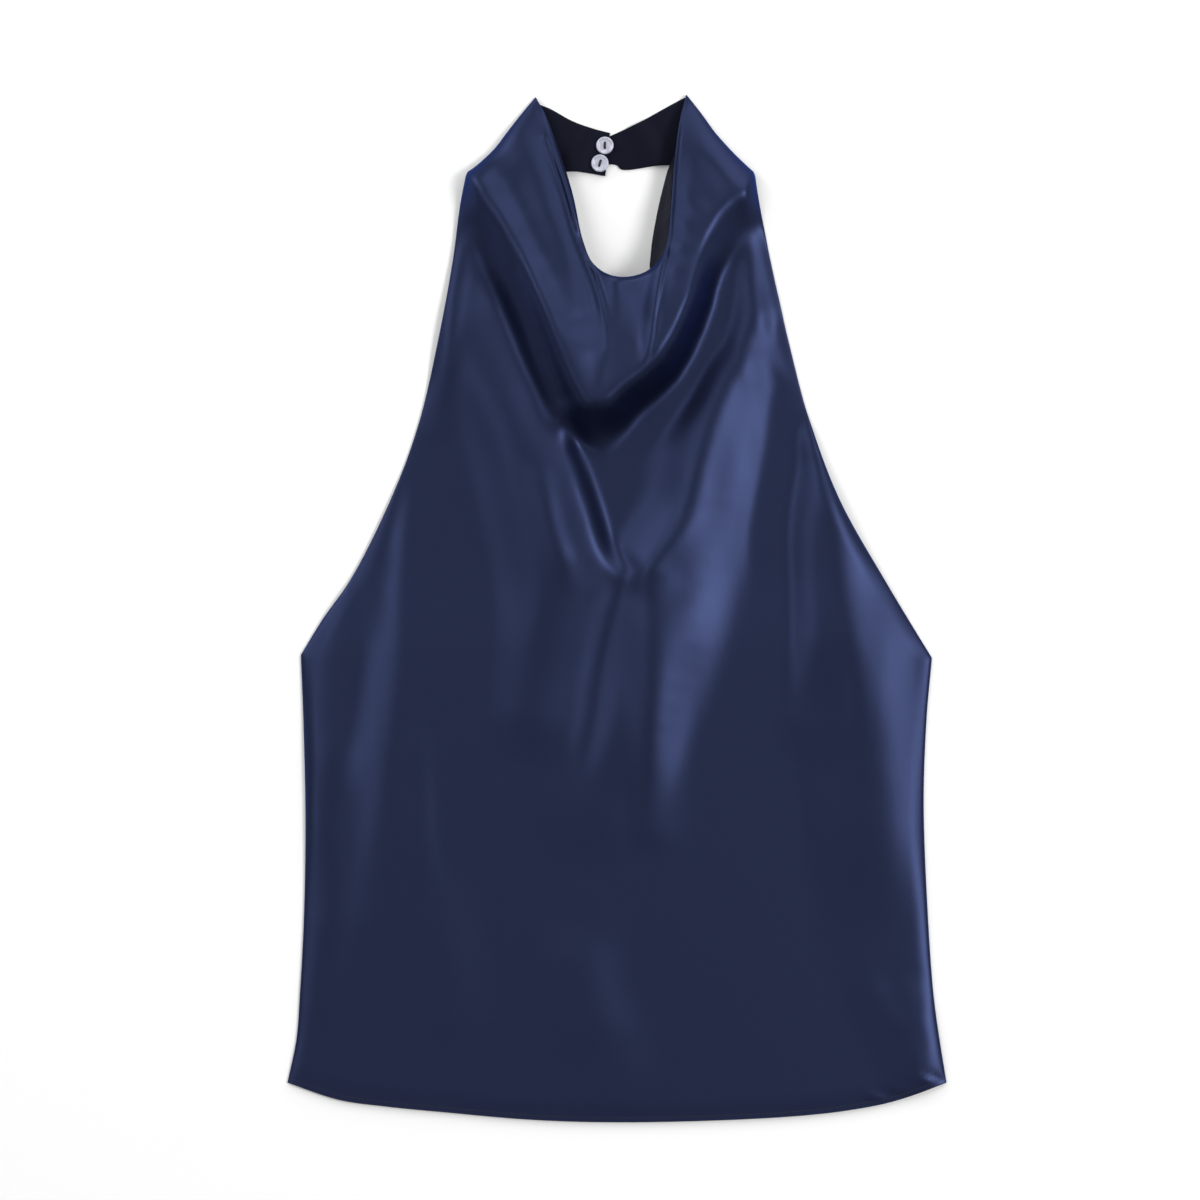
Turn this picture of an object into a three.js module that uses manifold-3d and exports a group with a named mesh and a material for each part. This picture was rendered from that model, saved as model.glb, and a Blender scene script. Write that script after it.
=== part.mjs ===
// A halter neck top in satin, with a draped cowl neckline and an open back, laid face up on a flat surface.
// Millimetres. +X is to the right as the top is looked at, +Y towards the neck, +Z up from the surface.
// The origin is the middle of the garment's outline, on the surface it lies on.

import * as THREE from "three";
import { mergeVertices } from "three/addons/utils/BufferGeometryUtils.js";
import Module from "manifold-3d";

// Driving sizes
const CLOTH = 1.2; // wall of a panel, its turned edges included
const SEAM_GAP = 0.3; // between pieces that are sewn or lie together
const HALF_HEM = 219.7; // half the hem's width, laid flat
const HALF_LENGTH = 343; // half of the length from the hem to the neck points
const FLOOR_CLEAR = 0.15; // the lowest that the front's edges come to the surface
const INSET = 3; // hidden pieces stay this far inside the front's outline

const BUTTON = { radius: 5.85, height: 2.3, holeRadius: 0.7, holeSpacing: 3.6 };

// Outline of the front, seen from above. Each list runs upwards. Left and right differ a little, as laid.
const SIDE_SEAM = {
  left: [[-HALF_HEM, -316.7], [-213.7, -287.9], [-211.2, -255], [-208.6, -205], [-207.6, -140],
    [-209, -75], [-210.7, -31]],
  right: [[HALF_HEM, -316.7], [215, -287.9], [211, -258], [207.2, -205], [204.4, -130],
    [206.3, -74], [209.9, -33]],
};
const ARMHOLE = {
  left: [[-210.7, -31], [-196.3, -7.5], [-177.6, 19.2], [-150.9, 72.6], [-131.5, 126],
    [-118.9, 179.4], [-109.5, 230.2], [-104.2, 269.6], [-100.2, 291]],
  right: [[209.9, -33], [194.3, -7.5], [178.3, 19.2], [148.2, 72.6], [128.2, 126],
    [114.2, 179.4], [102.8, 230.2], [94.8, 269.6], [91.5, 291]],
};
const SHOULDER_FOLD = {
  left: [[-100.2, 291], [-95, 294.6], [-82.1, 306.3], [-72.8, 318.3], [-63.4, 330.3], [-54.1, 341.4]],
  right: [[91.5, 291], [83.5, 298.3], [75.5, 306.3], [64.8, 318.3], [56.1, 330.3], [46.1, HALF_LENGTH]],
};
const HEM = [[-HALF_HEM, -316.7], [-185.6, -328], [-152.9, -332.6], [-114.2, -336.4], [-55.4, -341.4],
  [0, -HALF_LENGTH], [70.8, -341.6], [122.2, -338.7], [155, -335], [185, -329], [HALF_HEM, -316.7]];
const NECKLINE = [[-54.1, 341.4], [-48.1, 329.7], [-38.1, 303], [-30, 276.3], [-23.4, 246.2],
  [-16.7, 230.2], [-7.3, 222.9], [5.3, 220.5], [18.7, 223.5], [28.7, 231.5], [33.4, 242.9],
  [36.1, 269.6], [38.1, 296.3], [41.4, 323], [46.1, HALF_LENGTH]];

// Where the side seam ends and where the armhole ends, as shares of the way up the outline.
const UNDERARM = 0.405;
const SHOULDER = 0.9;
const SAG_POWER = 1.6; // how soon the rows of the cloth straighten below the neckline

// Folds of the front. A route is listed down or from left to right, and height is negative for a trough.
// left and right are the widths to that side of the way along the route, soft is how round the crest is
// there and crisp how suddenly the fold ends there. start and end are the shares of the height that the ends
// of the route have.
const FOLDS = [
  { name: "first drape", height: 31.5, start: 0.45, end: 0.45,
    left: { width: 104, soft: 0.55 }, right: { width: 23, soft: 0.15 },
    route: [[-95, 283], [-72, 248], [-51, 203], [-37, 169], [-24, 139], [-15, 133], [3, 147], [26, 167],
      [43, 202], [53, 235], [73, 270], [93, 281]] },
  { name: "second drape, left arm", height: 12, start: 0.5, end: 0.25,
    left: { width: 14, soft: 0.3 }, right: { width: 96, soft: 0.4 },
    route: [[-75, 222], [-50, 143], [-23, 72], [-9, 32], [7, 17], [27, 35]] },
  { name: "second drape, right arm", height: 7.5, start: 1, end: 0.1,
    left: { width: 38, soft: 0.5 }, right: { width: 37, soft: 0.4 },
    route: [[22, 35], [42, 61], [55, 101], [76, 157], [112, 189]] },
  { name: "long ridge to the right armhole", height: 7, start: 0.1, end: 0.25,
    left: { width: 41, soft: 1.2, crisp: 0.35 }, right: { width: 52, soft: 0.9 },
    route: [[101, 175], [68, 120], [56, 72], [47, 32], [38, -21], [29, -76], [12, -130]] },
  { name: "ridge from the left armhole", height: 4, start: 0.6, end: 0.65,
    left: { width: 61, soft: 0.65, crisp: 0.1 }, right: { width: 32, soft: 0.6 },
    route: [[-115, 188], [-85, 132], [-67, 74], [-55, 13], [-54, -64]] },
  { name: "short ridge at the right armhole", height: 4.5, start: 1.35, end: 0.3,
    left: { width: 38, soft: 1, crisp: 0.5 }, right: { width: 33, soft: 0.6 },
    route: [[139, 104], [133, 53], [128, 3], [126, -70]] },
  { name: "ridge under the left armhole", height: 2.5, start: 1.05, end: 0.25,
    left: { width: 20, soft: 0.6 }, right: { width: 40, soft: 0.6 },
    route: [[-153, 77], [-157, 14], [-158, -27], [-167, -77], [-173, -128], [-182, -201]] },
  { name: "ridge at the left underarm", height: 2.5, start: 1, end: 0.1,
    left: { width: 27, soft: 0.6 }, right: { width: 17, soft: 0.6 },
    route: [[-188, 5], [-201, -61], [-202, -134], [-201, -201]] },
  { name: "ridge down the right side", height: 5.5, start: 0.85, end: 0.1,
    left: { width: 34, soft: 1, crisp: 0.45 }, right: { width: 51, soft: 0.8, crisp: 0.1 },
    route: [[156, 59], [166, -22], [172, -88], [181, -162], [191, -225]] },
  { name: "trough beside the left neckline", height: -6, start: 0.55, end: 0.45,
    left: { width: 21, soft: 0.6 }, right: { width: 19, soft: 0.6 },
    route: [[-82, 303], [-63, 267], [-49, 233], [-29, 195]] },
  { name: "crease along the left neckline", height: -2, start: 0.35, end: 0,
    left: { width: 8, soft: 0.6 }, right: { width: 11, soft: 0.6 },
    route: [[-48, 313], [-39, 273], [-28, 236], [-20, 202], [-9, 173]] },
  { name: "trough below the neckline", height: -4.5, start: 0.45, end: 0.15,
    left: { width: 11, soft: 0.6 }, right: { width: 13, soft: 0.6 },
    route: [[6, 222], [16, 189], [14, 160]] },
  { name: "edge along the right neckline", height: 6, start: 0.45, end: 0.15,
    left: { width: 11, soft: 0.5 }, right: { width: 9, soft: 0.4 },
    route: [[44, 338], [36, 308], [40, 271], [34, 242], [32, 211], [27, 172]] },
  { name: "trough beside the right neckline", height: -11.5, start: 0.2, end: 0.45,
    left: { width: 26, soft: 0.6 }, right: { width: 17, soft: 0.6 },
    route: [[54, 314], [52, 273], [47, 236], [26, 193]] },
  { name: "line down from the second drape", height: -3, start: 0.9, end: 0.05,
    left: { width: 15, soft: 0.6 }, right: { width: 19, soft: 0.6 },
    route: [[2, 13], [-9, -28], [-17, -74], [-27, -125]] },
  { name: "valley beyond the long ridge", height: -4, start: 1.35, end: 0,
    left: { width: 30, soft: 0.6 }, right: { width: 20, soft: 0.6 },
    route: [[102, 174], [113, 119], [101, 53], [110, -15], [92, -88]] },
  { name: "small crease beside the second drape", height: 3, start: 0.5, end: 0.25,
    left: { width: 11, soft: 0.6 }, right: { width: 14, soft: 0.6 },
    route: [[-47, 86], [-42, 50], [-31, 18]] },
  { name: "valley beyond the short ridge", height: 1.5, start: 0.65, end: 0.05,
    left: { width: 18, soft: 0.6 }, right: { width: 16, soft: 0.6 },
    route: [[148, 70], [153, 19], [159, -34], [165, -100]] },
  { name: "trough left of the middle", height: -2, start: 0.1, end: 0.05,
    left: { width: 28, soft: 0.6 }, right: { width: 28, soft: 0.6 },
    route: [[-100, 60], [-101, -20], [-109, -110], [-118, -220]] },
  { name: "trough left of the first drape", height: -3.5, start: 0.2, end: 0.65,
    left: { width: 19, soft: 0.6 }, right: { width: 20, soft: 0.6 },
    route: [[-87, 262], [-75, 220], [-60, 174], [-39, 134], [-20, 110]] },
  { name: "trough right of the first drape", height: -4.5, start: 0.2, end: 0.35,
    left: { width: 29, soft: 0.65, crisp: 0.1 }, right: { width: 22, soft: 0.6 },
    route: [[75, 261], [67, 213], [53, 162], [27, 129], [1, 117]] },
  { name: "ridge along the left armhole", height: 2.5, start: 0.3, end: 0.25,
    left: { width: 17, soft: 0.6 }, right: { width: 20, soft: 0.6 },
    route: [[-100, 263], [-113, 201], [-122, 124]] },
  { name: "ridge along the right armhole", height: 4.5, start: 0.55, end: 0.4,
    left: { width: 16, soft: 0.6 }, right: { width: 30, soft: 0.6 },
    route: [[88, 270], [96, 197], [130, 121]] },
  { name: "swell above the hem", height: 1.5, start: 0.15, end: 0.3,
    left: { width: 32, soft: 0.6 }, right: { width: 43, soft: 0.6, crisp: 0.1 },
    route: [[-22, -210], [-17, -251], [0, -301]] },
  { name: "swell at the left underarm", height: 3, start: 0.3, end: 0.15,
    left: { width: 24, soft: 0.6 }, right: { width: 33, soft: 0.6 },
    route: [[-168, 12], [-179, -61], [-191, -139]] },
  { name: "valley under the left arm", height: -0.5, start: 0.4, end: 0.25,
    left: { width: 22, soft: 0.55 }, right: { width: 21, soft: 0.55 },
    route: [[-126, 86], [-144, 6], [-155, -75]] },
  { name: "valley right of the middle", height: -0.5, start: 0.4, end: 0.2,
    left: { width: 25, soft: 0.55 }, right: { width: 27, soft: 0.55 },
    route: [[91, 33], [104, -61], [115, -141]] },
  { name: "ridge down the left side", height: 2.5, start: 0.25, end: 0.4,
    left: { width: 19, soft: 0.55 }, right: { width: 11, soft: 0.55 },
    route: [[-190, -61], [-188, -162], [-200, -262]] },
  { name: "swell at the right hem corner", height: 1, start: 0.1, end: 1,
    left: { width: 15, soft: 0.55 }, right: { width: 26, soft: 0.55 },
    route: [[163, -236], [184, -277], [205, -316]] },
  { name: "soft ridge below the second drape", height: 2.5, start: 0.55, end: 0.45,
    left: { width: 28, soft: 0.5 }, right: { width: 26, soft: 0.55 },
    route: [[17, 20], [24, -62], [25, -143]] },
  { name: "swell above the left hem", height: 1.5, start: 0.45, end: 0.5,
    left: { width: 34, soft: 0.55 }, right: { width: 28, soft: 0.55 },
    route: [[-131, -100], [-122, -181], [-111, -269]] },
];
const ROUTE_PARTS = 24; // straight parts that a route is followed in
const NEAR = 1.5; // how gently one part of a route hands over to the next
const FADE = 0.3; // share of a route in which its height comes in and goes out

// Heights of the cloth's middle where no fold lifts it.
const ON_BACK = 3.4; // over the back panel, and over the neckbands
const ON_FLOOR = 1.3; // where the front lies on the surface itself
const EDGE_REACH = 10; // the edges round down within this
const EDGE_FOLD = 0.45; // share of a fold's height that is left at an armhole's edge
const LIP_DROP = 2.4; // how far the neckline's edge turns down
const LIP_REACH = 6;

// Small tools

const mix = (a, b, t) => a + (b - a) * t;
const clamp = (x) => Math.min(1, Math.max(0, x));

// 0 below a, 1 above b, and smooth between.
function smooth(a, b, x) {
  const t = clamp((x - a) / (b - a));
  return t * t * (3 - 2 * t);
}

// A smooth curve through points of the plan.
function curveThrough(points) {
  const through = points.map(([x, y]) => new THREE.Vector3(x, y, 0));
  return new THREE.CatmullRomCurve3(through, false, "centripetal");
}

const outline = Object.fromEntries(["left", "right"].map((side) => [side, {
  seam: curveThrough(SIDE_SEAM[side]),
  armhole: curveThrough(ARMHOLE[side]),
  fold: curveThrough(SHOULDER_FOLD[side]),
}]));
const hem = curveThrough(HEM);
const neckline = curveThrough(NECKLINE);

// The point of the outline at share v of the way up, on the left or the right.
function outlineAt(side, v) {
  const { seam, armhole, fold } = outline[side];
  if (v <= UNDERARM) return seam.getPointAt(v / UNDERARM);
  if (v <= SHOULDER) return armhole.getPointAt((v - UNDERARM) / (SHOULDER - UNDERARM));
  return fold.getPointAt(clamp((v - SHOULDER) / (1 - SHOULDER)));
}

// The plan of the front: u runs from the left edge to the right one, v from the hem to the neckline.
// Its rows hang as the cloth's own threads do, from the neckline's curve down to the hem's.
function frontPlan(u, v) {
  const left = outlineAt("left", v);
  const right = outlineAt("right", v);
  const sag = v ** SAG_POWER;
  const across = (curve) => curve.getPointAt(u).sub(
    curve.getPointAt(0).multiplyScalar(1 - u).addScaledVector(curve.getPointAt(1), u));
  return left.clone().multiplyScalar(1 - u).addScaledVector(right, u)
    .addScaledVector(across(hem), 1 - sag).addScaledVector(across(neckline), sag);
}

const routes = FOLDS.map((fold) => curveThrough(fold.route).getSpacedPoints(ROUTE_PARTS));

// How much of its height a fold has at share s of its route.
function alongRoute(fold, s) {
  return mix(fold.start, 1, smooth(0, FADE, s)) * mix(1, fold.end, smooth(1 - FADE, 1, s));
}

// A fold's height from 1 on its crest to 0 at its foot, q being the share of the way out to the foot.
function crestAt(q, soft, crisp) {
  const slope = (Math.hypot(q, soft) - soft) / (Math.hypot(1, soft) - soft);
  return Math.max(0, 1 - slope) ** (2 - crisp);
}

// How far one fold lifts the cloth at a point of the plan.
function foldAt(fold, route, x, y) {
  let weights = 0;
  let distance = 0;
  let side = 0;
  let share = 0;
  for (let k = 0; k < ROUTE_PARTS; k++) {
    const a = route[k];
    const b = route[k + 1];
    const length = Math.hypot(b.x - a.x, b.y - a.y);
    const tx = (b.x - a.x) / length;
    const ty = (b.y - a.y) / length;
    const t = clamp(((x - a.x) * tx + (y - a.y) * ty) / length);
    const rx = x - mix(a.x, b.x, t);
    const ry = y - mix(a.y, b.y, t);
    const d = Math.hypot(rx, ry);
    const w = 1 / (d * d + NEAR * NEAR) ** 4;
    weights += w;
    distance += w * d;
    side += w * (tx * ry - ty * rx) / (d + 1);
    share += w * (k + t) / ROUTE_PARTS;
  }
  const toLeft = smooth(-1, 1, side / weights);
  const width = mix(fold.right.width, fold.left.width, toLeft);
  const soft = mix(fold.right.soft, fold.left.soft, toLeft);
  const crisp = mix(fold.right.crisp ?? 0, fold.left.crisp ?? 0, toLeft);
  const out = Math.min(1, distance / weights / width);
  return fold.height * crestAt(out, soft, crisp) * alongRoute(fold, share / weights);
}

// The middle of the front's cloth at u across and v up.
function frontAt(u, v) {
  const plan = frontPlan(u, v);
  const lift = FOLDS.reduce((sum, fold, k) => sum + foldAt(fold, routes[k], plan.x, plan.y), 0);
  const width = outlineAt("left", v).distanceTo(outlineAt("right", v));
  const inward = clamp(Math.min(u, 1 - u) * width / EDGE_REACH);
  const round = Math.sqrt(1 - (1 - inward) ** 2);
  const edgeFold = EDGE_FOLD * smooth(UNDERARM, UNDERARM + 0.08, v)
    * (1 - smooth(SHOULDER - 0.06, SHOULDER, v));
  const layers = Math.max(1 - smooth(-30, 30, plan.y), smooth(235, 265, plan.y));
  const rest = mix(ON_FLOOR, ON_BACK, layers);
  const low = CLOTH / 2 + FLOOR_CLEAR;
  const lip = 1 - clamp((1 - v) * outline.left.fold.getLength() / (1 - SHOULDER) / LIP_REACH);
  const raised = Math.max(0, lift) * mix(edgeFold, 1, round);
  const drop = LIP_DROP * lip * lip * smooth(0, 3 * LIP_DROP, raised);
  return plan.setZ(mix(low, rest, round) + raised - drop);
}

// The way that faces out of a grid of points, at each of them.
function normalsOf(rows) {
  const within = (k, count) => Math.min(count - 1, Math.max(0, k));
  const at = (j, i) => rows[within(j, rows.length)][within(i, rows[0].length)];
  return rows.map((row, j) => row.map((_, i) => {
    const across = at(j, i + 1).clone().sub(at(j, i - 1));
    const up = at(j + 1, i).clone().sub(at(j - 1, i));
    return across.cross(up).normalize();
  }));
}

// A closed wall of cloth round a grid of points: rows from left to right, the rows running upwards.
function clothWall(rows, thickness) {
  const normals = normalsOf(rows);
  const tall = rows.length;
  const wide = rows[0].length;
  const position = [];
  for (const sign of [1, -1]) {
    rows.forEach((row, j) => row.forEach((point, i) => {
      position.push(...point.clone().addScaledVector(normals[j][i], sign * thickness / 2).toArray());
    }));
  }
  const index = [];
  const below = tall * wide;
  const corner = (j, i) => j * wide + i;
  for (let j = 0; j < tall - 1; j++) {
    for (let i = 0; i < wide - 1; i++) {
      const [a, b, c, d] = [corner(j, i), corner(j, i + 1), corner(j + 1, i + 1), corner(j + 1, i)];
      const rising = rows[j][i].distanceTo(rows[j + 1][i + 1]);
      const straight = rising <= rows[j][i + 1].distanceTo(rows[j + 1][i]);
      const faces = straight ? [[a, b, c], [a, c, d]] : [[a, b, d], [b, c, d]];
      for (const [p, q, r] of faces) index.push(p, q, r, r + below, q + below, p + below);
    }
  }
  const rim = [];
  for (let i = 0; i < wide - 1; i++) {
    rim.push([corner(0, i), corner(0, i + 1)]);
    rim.push([corner(tall - 1, i + 1), corner(tall - 1, i)]);
  }
  for (let j = 0; j < tall - 1; j++) {
    rim.push([corner(j, wide - 1), corner(j + 1, wide - 1)]);
    rim.push([corner(j + 1, 0), corner(j, 0)]);
  }
  for (const [p, q] of rim) index.push(p, p + below, q + below, p, q + below, q);
  return new THREE.BufferGeometry()
    .setAttribute("position", new THREE.Float32BufferAttribute(position, 3))
    .setIndex(index);
}

// Even steps from a to b, both included.
const steps = (a, b, count) => Array.from({ length: count + 1 }, (_, k) => mix(a, b, k / count));

// Columns lie closer together at the edges, where the cloth rounds down.
const EDGE_COLUMNS = [0, 0.0035, 0.009, 0.018, 0.032];
const MIDDLE_COLUMNS = 32;
const columns = [
  ...EDGE_COLUMNS,
  ...steps(0.055, 0.945, MIDDLE_COLUMNS),
  ...EDGE_COLUMNS.map((u) => 1 - u).reverse(),
];

// Rows lie closer together in the cowl, and closest at the neckline.
const rowsUp = [
  0, 0.008,
  ...steps(0.03, UNDERARM, 12),
  ...steps(UNDERARM + 0.025, 0.6, 6),
  ...steps(0.618, SHOULDER, 18),
  ...[0.912, 0.926, 0.94, 0.953, 0.965, 0.976, 0.985, 0.993, 1],
];

// Pieces

const satin = new THREE.MeshStandardMaterial({ color: 0x262c50, roughness: 0.4, metalness: 0 });
const wrongSide = new THREE.MeshStandardMaterial({ color: 0x1b1d2c, roughness: 0.7, metalness: 0 });
const shell = new THREE.MeshStandardMaterial({ color: 0xb9bcc6, roughness: 0.3, metalness: 0 });

function piece(name, geometry, material) {
  const mesh = new THREE.Mesh(geometry, material);
  mesh.name = name;
  return mesh;
}

// The front, from the hem to the neckline and out to the folds over the shoulders.
const frontRows = rowsUp.map((v) => columns.map((u) => frontAt(u, v)));
const frontNormals = normalsOf(frontRows);

function frontPanel() {
  return piece("front_panel", clothWall(frontRows, CLOTH), satin);
}

// The back: low, flat on the surface, inside the front's outline.
const BACK_SCOOP = 22; // its top edge dips this much in the middle
const HEM_INSET = 2.5;

function backPanel() {
  const rows = steps(0.004, UNDERARM - 0.01, 14).map((v) => {
    const left = outlineAt("left", v).x + INSET;
    const right = outlineAt("right", v).x - INSET;
    return steps(0, 1, 14).map((u) => {
      const rise = v / UNDERARM;
      const dip = BACK_SCOOP * rise ** 4 * Math.sin(Math.PI * u) ** 2;
      const hemSag = (hem.getPointAt(u).y - hem.getPointAt(0).y) * (1 - rise);
      const level = mix(outlineAt("left", v).y, outlineAt("right", v).y, u);
      const y = level + hemSag + HEM_INSET * (1 - rise) - dip;
      return new THREE.Vector3(mix(left, right, u), y, CLOTH / 2);
    });
  });
  return piece("back_panel", clothWall(rows, CLOTH), satin);
}

// The neckband: a half from each shoulder fold to the middle of the back.
// Its edges are listed in the plan, from the fold inwards.
const NECKBANDS = {
  left: {
    top: [[-52.4, 337.2], [-44.5, 334], [-31, 326.5], [-17.5, 321.2], [-4.6, 317.8]],
    bottom: [[-96.5, 281.5], [-60, 288], [-30, 292], [-18, 290.8], [-7.8, 288.9]],
    raised: CLOTH + SEAM_GAP, // its end lies on the other one's tab
    arch: { height: 1.8, from: 0.55, to: 0.9 },
  },
  right: {
    top: [[44.6, 338.6], [32, 336], [18, 326.6], [1.6, 318.6], [-3, 316.5], [-15, 311]],
    bottom: [[88.5, 284], [60, 292], [33, 296.2], [3, 293.4], [-0.5, 296.4], [-15, 296.4]],
    raised: 0,
    arch: { height: 1.5, from: 0.4, to: 0.72 },
  },
};

function neckband(side) {
  const { top, bottom, raised, arch } = NECKBANDS[side];
  const upper = curveThrough(top);
  const lower = curveThrough(bottom);
  const across = steps(0, 1, 18).map((s) => {
    const bow = Math.sin(Math.PI * clamp((s - arch.from) / (arch.to - arch.from))) ** 2;
    const lift = raised * smooth(0.6, 0.88, s) + arch.height * bow;
    const between = (t) => lower.getPointAt(s).lerp(upper.getPointAt(s), t);
    return steps(0, 1, 5).map((t) => between(t).setZ(CLOTH / 2 + lift));
  });
  const order = side === "left" ? across : across.reverse();
  const rows = order[0].map((_, t) => order.map((column) => column[t]));
  return piece(`neckband_${side}`, clothWall(rows, CLOTH), wrongSide);
}

// The facing: under the cowl it follows the front, and at the right it hangs free into the neck opening.
const FACING = 1;
const FACING_DEPTH = 5; // rows of the front that it lies under
const FACING_FROM = 7; // first and last column of the front that it reaches
const FACING_TO = columns.length - 8;
const FREE_FROM = 0.5; // it turns over from here across, and is free from there on
const FREE_TO = 0.63;
const FREE_EDGE = [[14, 207], [19, 215], [21.4, 226], [23.6, 246], [26.7, 263], [30.6, 280],
  [34.4, 294], [38.5, 304], [40.5, 315]];

function neckFacing() {
  const free = curveThrough(FREE_EDGE);
  const under = (CLOTH + FACING) / 2 + SEAM_GAP;
  const last = rowsUp.length - 1;
  const beneath = (j, i) => frontRows[j][i].clone().addScaledVector(frontNormals[j][i], -under);
  const pointAt = (deep, i) => {
    const u = columns[i];
    const seam = beneath(last, i);
    const hidden = beneath(last - deep, i).sub(seam);
    const down = new THREE.Vector3(0, 0, -hidden.length());
    const edge = free.getPointAt(clamp((u - 0.54) / 0.4));
    edge.z = mix(1.2, 2.7, smooth(258, 282, edge.y));
    const hanging = edge.sub(seam).multiplyScalar((deep / FACING_DEPTH) ** 0.8);
    const turn = smooth(FREE_FROM, FREE_TO, u);
    const point = seam.addScaledVector(hidden, (1 - turn) ** 2)
      .addScaledVector(down, 2 * turn * (1 - turn))
      .addScaledVector(hanging, turn ** 2);
    return point.setZ(Math.max(point.z, FACING / 2 + FLOOR_CLEAR));
  };
  const across = steps(FACING_FROM, FACING_TO, FACING_TO - FACING_FROM);
  const rows = steps(FACING_DEPTH, 0, FACING_DEPTH).map((deep) => across.map((i) => pointAt(deep, i)));
  return piece("neck_facing", clothWall(rows, FACING), wrongSide);
}

const wasm = await Module();
wasm.setup();

// A geometry as a solid that can be cut.
function solidOf(geometry) {
  const bare = geometry.clone();
  bare.deleteAttribute("normal");
  bare.deleteAttribute("uv");
  const merged = mergeVertices(bare, 1e-4);
  return new wasm.Manifold(new wasm.Mesh({
    numProp: 3,
    vertProperties: new Float32Array(merged.attributes.position.array),
    triVerts: new Uint32Array(merged.index.array),
  }));
}

// A cut solid as a geometry again.
function geometryOf(solid) {
  const { vertProperties, triVerts } = solid.getMesh();
  return new THREE.BufferGeometry()
    .setAttribute("position", new THREE.Float32BufferAttribute(vertProperties, 3))
    .setIndex(new THREE.Uint32BufferAttribute(triVerts, 1));
}

// A round sew-through button: a raised rim round a shallow dish, with two holes for the thread.
function button(name, x, y, turn) {
  const { radius, height, holeRadius, holeSpacing } = BUTTON;
  const profile = [
    [0, 0], [radius - 0.9, 0], [radius - 0.2, 0.45], [radius, 1.1], [radius - 0.15, 1.8],
    [radius - 0.7, height], [radius - 1.2, height - 0.1], [radius - 2, height - 0.6], [0, height - 0.75],
  ].map(([r, z]) => new THREE.Vector2(r, z));
  let solid = solidOf(new THREE.LatheGeometry(profile, 32).rotateX(Math.PI / 2));
  for (const way of [-1, 1]) {
    const hole = new THREE.CylinderGeometry(holeRadius, holeRadius, 3 * height, 12).rotateX(Math.PI / 2);
    hole.translate(0, way * holeSpacing / 2, 0);
    solid = solid.subtract(solidOf(hole));
  }
  const mesh = piece(name, geometryOf(solid), shell);
  mesh.position.set(x, y, 2 * CLOTH + 2 * SEAM_GAP);
  mesh.rotation.z = turn;
  return mesh;
}

const top = new THREE.Group();
top.add(
  frontPanel(),
  backPanel(),
  neckband("left"),
  neckband("right"),
  neckFacing(),
  button("button_upper", -8.1, 309.4, -0.03),
  button("button_lower", -11.4, 297.5, -0.27),
);

export default top;
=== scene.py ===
"""A halter neck top in navy satin, laid face up on a pale surface.

The front drapes into a cowl, its shoulders fold over into a neckband that buttons behind the neck,
and the back is low. Sizes are in millimetres in the tables, and the meshes are in metres.
"""

import logging
import math
from dataclasses import dataclass, field
from enum import Enum

import bmesh
import bpy
import numpy as np
from bpy.types import Material, Node, NodeSocket, Object
from mathutils import Matrix, Vector


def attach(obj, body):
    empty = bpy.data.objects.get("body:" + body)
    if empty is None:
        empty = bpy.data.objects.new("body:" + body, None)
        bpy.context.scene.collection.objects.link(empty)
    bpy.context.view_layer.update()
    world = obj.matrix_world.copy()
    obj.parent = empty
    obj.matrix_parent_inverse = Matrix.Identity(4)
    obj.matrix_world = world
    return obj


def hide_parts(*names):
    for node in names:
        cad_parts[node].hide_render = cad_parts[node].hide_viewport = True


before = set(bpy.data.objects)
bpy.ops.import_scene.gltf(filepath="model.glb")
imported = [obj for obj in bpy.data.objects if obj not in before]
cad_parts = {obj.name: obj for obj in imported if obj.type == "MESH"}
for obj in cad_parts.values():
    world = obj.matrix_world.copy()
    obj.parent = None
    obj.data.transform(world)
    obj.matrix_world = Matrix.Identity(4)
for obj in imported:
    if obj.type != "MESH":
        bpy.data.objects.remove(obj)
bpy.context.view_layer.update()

MM = 0.001
BAND_SCALE = math.tau / 20  # the scale at which a wave pattern has one band for each unit
log = logging.getLogger("top")

Points = tuple[tuple[float, float], ...]


class Side(Enum):
    """The side of the top as it is looked at."""

    LEFT = "left"
    RIGHT = "right"


class Slot(Enum):
    """Material slots of the record."""

    SATIN = "satin"
    INSIDE = "satin_inside"
    BUTTON = "button"


# Small tools


def smooth(low: float, high: float, value: np.ndarray) -> np.ndarray:
    """Ease from 0 below low to 1 above high.

    Args:
        low: Where the rise starts.
        high: Where it ends.
        value: Where it is asked.

    Returns:
        Shares from 0 to 1.
    """
    t = np.clip((value - low) / (high - low), 0.0, 1.0)
    return t * t * (3.0 - 2.0 * t)


def mix(first: np.ndarray, second: np.ndarray, share: np.ndarray) -> np.ndarray:
    """Blend two values by a share from 0 to 1."""
    return first + (second - first) * share


def normals_of(points: np.ndarray) -> np.ndarray:
    """Find which way a grid of points faces.

    Args:
        points: Rows of points, shaped (rows, columns, 3).

    Returns:
        One unit vector for each point, in the same shape.
    """
    up, across = np.gradient(points, axis=(0, 1))
    facing = np.cross(across, up)
    return facing / np.linalg.norm(facing, axis=2, keepdims=True)


def shares(count: int, near: tuple[float, ...]) -> np.ndarray:
    """Space shares from 0 to 1 evenly, with closer ones at both ends.

    Args:
        count: Even steps between the close ones.
        near: The close shares, from 0 upwards.

    Returns:
        Rising shares.
    """
    ends = np.array(near)
    step = (1.0 - 2.0 * ends[-1]) / count
    return np.concatenate([ends, ends[-1] + step * np.arange(1, count), 1.0 - ends[::-1]])


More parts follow.
